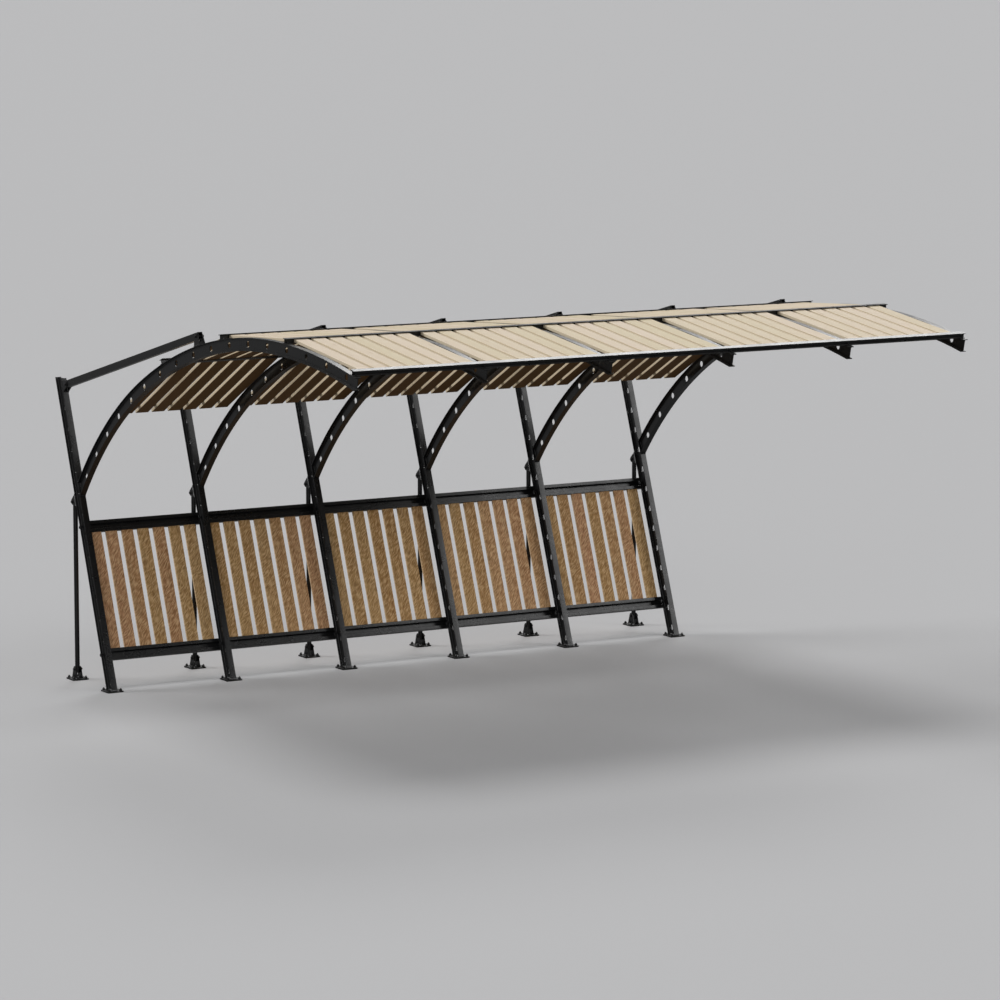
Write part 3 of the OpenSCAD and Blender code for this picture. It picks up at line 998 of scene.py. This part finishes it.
# %% Dress a CAD node
def dress(name, node, material, slot, easing, segments=2, angle=40, fittings=()):
    """A merged and eased copy of a CAD node's mesh, with any loose fittings joined on."""
    copy = bpy.data.objects.new(node + "_copy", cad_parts[node].data.copy())
    bpy.context.scene.collection.objects.link(copy)
    edit(copy)
    bpy.ops.mesh.remove_doubles(threshold=0.00002)
    bpy.ops.mesh.select_all(action="SELECT")
    bpy.ops.mesh.dissolve_limited(angle_limit=math.radians(0.6))
    clear_hands()
    ease(copy, easing, angle, segments)
    return finish(join(name, [copy, *fittings]), name, material, slot, node)


# %% Tie bars and props
for i in FRAMES:
    bar = dress(f"tie_bar_box_{i}", f"tie_bar_{i}", BLACK_STEEL, "black_steel",
                easing=0.0025, segments=3)
    prop = dress(f"prop_tube_{i}", f"prop_{i}", BLACK_STEEL, "black_steel",
                 easing=0.0008, segments=1, angle=60)
print("tie bar faces:", len(bar.data.polygons), "prop faces:", len(prop.data.polygons))

# %% [markdown]
# The purlins lie across the ribs and are bolted down through their lower flange, with one bolt in
# front of the web and one behind it at each rib. The heads show in the open side of the front
# purlin.

# %% Purlins and their bolts
PURLIN_S = [-1.206 + 0.990 * k for k in range(4)]  # behind the crown, counted from the front
PURLIN_FLANGE, PURLIN_BOLT = 0.004, 0.008
PURLIN_BOLT_Y = 0.0135  # from the web to a bolt


def purlin_bolts(s):
    """Two bolts through the lower flange of a purlin at every rib."""
    up = outwards(rib_slope(s))
    along = up.cross(ALONG_X)
    bolts = []
    for i in FRAMES:
        for side in (-1, 1):
            at = on_rib(s, HAIR + PURLIN_FLANGE, frame_x(i)) + side * PURLIN_BOLT_Y * along
            bolts.append(point_at(bolt_head(PURLIN_BOLT), at, up))
    return bolts


for k, s in enumerate(PURLIN_S, start=1):
    dress(f"purlin_beam_{k}", f"purlin_{k}", BLACK_STEEL, "black_steel",
          easing=0.0008, fittings=purlin_bolts(s))
print("purlin box:", short(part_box("purlin_1")))

# %% [markdown]
# The rails are folded channels, slotted in front. They lie against the backs of the posts and
# butt behind each one. Two bolts through the rear flange of every post hold them: the heads sit
# on the flange, either side of the web, and the outer posts show a nut behind the half that no
# rail covers.

# %% Rails and their bolts
RAIL_S = {"lower": 0.293, "upper": 1.287}  # up along the posts
RAIL_BOLT, RAIL_NUT = 0.012, 0.016
RAIL_BOLT_X = 0.014  # from the web to a bolt


def rail_bolts(s):
    """Bolts through the rear flanges of the posts at the height of a rail."""
    parts = []
    for i in FRAMES:
        for side in (-1, 1):
            x = frame_x(i) + side * RAIL_BOLT_X
            inside = on_post(HALF_DEPTH - SECTION["flange"], s, x)
            parts.append(point_at(bolt_head(RAIL_BOLT), inside, -BEHIND))
            if (i, side) in ((FRAMES[0], -1), (FRAMES[-1], 1)):
                behind = on_post(HALF_DEPTH, s, x - side * 0.002)
                parts.append(point_at(nut_and_stud(RAIL_NUT, 0.002), behind, BEHIND))
    return parts


for level, s in RAIL_S.items():
    dress(f"{level}_rail_channels", f"{level}_rails", BLACK_STEEL, "black_steel",
          easing=0.0015, fittings=rail_bolts(s))
print("rails done:", len(made))

# %% [markdown]
# The boards are housed between the flanges of the purlins and stand in the slots of the rails.
# Their long edges are eased by about two millimetres, which is what a planer leaves on decking,
# and by a little less on the rough back boards. The last row of roof boards has no purlin at its
# lower end, so a flat steel bar lies across its upper side in each bay and joins the boards.

# %% Boards and the bars that join the last row
dress("tail_flat_bars", "tail_battens", BLACK_STEEL, "black_steel", easing=0.0008, segments=1)
for node in ("roof_front", "roof_crown", "roof_back", "roof_tail"):
    dress(f"{node}_boards", node, ROOF_PINE, "roof_boards", easing=0.0020)
for i in range(1, 6):
    dress(f"back_boards_{i}", f"back_panel_{i}", SAWN_BROWN, "back_boards", easing=0.0014)
print("boards done:", len(made))

# %% [markdown]
# ## Floor, light and camera
#
# The shelter stands on a plain floor that runs to the horizon, and the floor keeps the shadow.
# The camera sees it pale. Every other ray sees it much darker, so that little light comes back up
# under the roof and the undersides of the boards stay dark and warm. The world is split in the
# same way, which also hides the horizon.

# %% Floor
def make_floor(lit, seen):
    """A wide round floor with one colour for the light and one for the camera."""
    material, shader, add, links = new_material("studio_floor")
    by_camera = add("ShaderNodeLightPath").outputs["Is Camera Ray"]
    links.new(blend_colour(add, by_camera, lit, seen), shader.inputs["Base Color"])
    shader.inputs["Roughness"].default_value = 0.9
    shader.inputs["Specular IOR Level"].default_value = 0.1
    clear_hands()
    bpy.ops.mesh.primitive_circle_add(vertices=96, radius=400, fill_type="NGON")
    floor = bpy.context.object
    floor.name = "studio_floor"
    floor.data.materials.append(material)
    floor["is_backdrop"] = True


make_floor(lit=(0.14, 0.14, 0.14), seen=(0.43, 0.43, 0.435))

# %% World
def make_world(lit, seen):
    """An even surround with one colour for the light and one for the camera."""
    world = bpy.data.worlds.new("studio")
    bpy.context.scene.world = world
    world.use_nodes = True
    nodes, links = world.node_tree.nodes, world.node_tree.links
    mixed = nodes.new("ShaderNodeMixShader")
    links.new(nodes.new("ShaderNodeLightPath").outputs["Is Camera Ray"], mixed.inputs[0])
    for index, node, colour in ((1, nodes["Background"], lit),
                                (2, nodes.new("ShaderNodeBackground"), seen)):
        node.inputs["Color"].default_value = (*colour, 1)
        node.inputs["Strength"].default_value = 1.0
        links.new(node.outputs[0], mixed.inputs[index])
    links.new(mixed.outputs[0], nodes["World Output"].inputs[0])


make_world(lit=(0.15, 0.15, 0.154), seen=(0.485, 0.485, 0.49))

# %% [markdown]
# Five broad lights stand in for the soft boxes of a studio. One is overhead. Two are behind, to
# the left and to the right, and draw the bright lines along the flanges. Two weaker ones are in
# front and fill in the back boards and the fronts of the posts. Suns are used, since they light
# all six frames alike, and their wide angle keeps the shadows soft.

# %% Light
LIGHTS = {  # strength, angle in degrees, direction of the light
    "overhead": (1.45, 26, (0.0, -0.22, -1.0)),
    "back_left": (1.5, 22, (0.75, -0.50, -0.43)),
    "back_right": (0.85, 22, (-0.50, -0.63, -0.60)),
    "front_right": (0.62, 20, (-0.60, 0.58, -0.45)),
    "front_left": (0.80, 40, (0.45, 0.85, -0.28)),
}
for name, (strength, angle, direction) in LIGHTS.items():
    bpy.ops.object.light_add(type="SUN", location=(0, 0, 12))
    lamp = bpy.context.object
    lamp.name = name
    lamp.data.energy = strength
    lamp.data.angle = math.radians(angle)
    lamp.rotation_euler = Vector(direction).to_track_quat("-Z", "Y").to_euler()
print("lights:", ", ".join(LIGHTS))

# %% [markdown]
# The camera stands far off to the left of the front, at about twice the height of the shelter,
# and looks through a long lens, so the six frames shrink only a little along the row.

# %% Camera
HEADING, DIP = math.radians(-30.13), math.radians(7.9065)
bpy.ops.object.camera_add(location=(-14.361, -30.561, 6.128),
                          rotation=(math.radians(90) - DIP, 0, HEADING))
camera = bpy.context.object
camera.name = "studio_camera"
camera.data.sensor_width = 36
camera.data.lens = 163.3
camera.data.clip_end = 2000
bpy.context.scene.camera = camera
bpy.context.scene.view_settings.view_transform = "Standard"
print("camera looks along", short(camera.matrix_world.to_quaternion() @ Vector((0, 0, -1))))

# %% [markdown]
# ## Measure
#
# The looks must not outgrow the construction, so the box of the looks is printed here, to set
# against the CAD box printed at the start.

# %% Boxes and counts
look_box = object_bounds()
triangles = sum(len(face.vertices) - 2 for piece in made for face in piece.data.polygons)
print("pieces:", len(made), "triangles:", triangles)
print("look box:", short(look_box))
